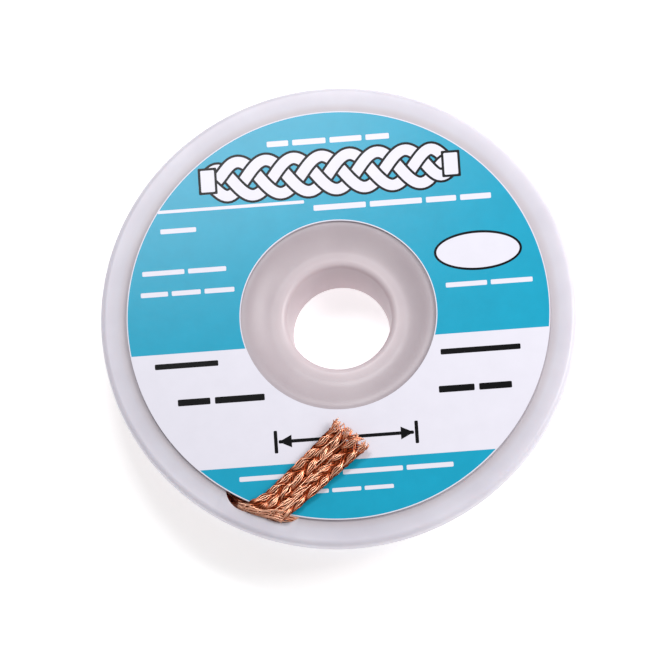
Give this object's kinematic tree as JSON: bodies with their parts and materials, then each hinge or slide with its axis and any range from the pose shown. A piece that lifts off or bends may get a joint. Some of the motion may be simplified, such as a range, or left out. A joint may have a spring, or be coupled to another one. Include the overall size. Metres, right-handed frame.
{
  "type": "desoldering braid on a spool",
  "caption": "Flat plaited copper braid wound on a small round plastic spool with a paper label, its free end folded out over the label.",
  "frame": {"origin": "centre of the spool's back face, on the bore's axis, at the level the spool lies on", "axes": "+Z along the bore's axis from the back flange to the labelled front flange; +X to the label's right, +Y to the label's top"},
  "size_m": [0.0344, 0.0344, 0.0071],
  "materials": {
    "milky_plastic": "milky, slightly see-through moulded plastic",
    "printed_paper": "satin printed paper",
    "copper_braid": "bright bare copper wire, plaited flat"
  },
  "bodies": {
    "root": {"spool": "milky_plastic", "label": "printed_paper", "braid_winding": "copper_braid", "braid_tail": "copper_braid"}
  },
  "joints": []
}
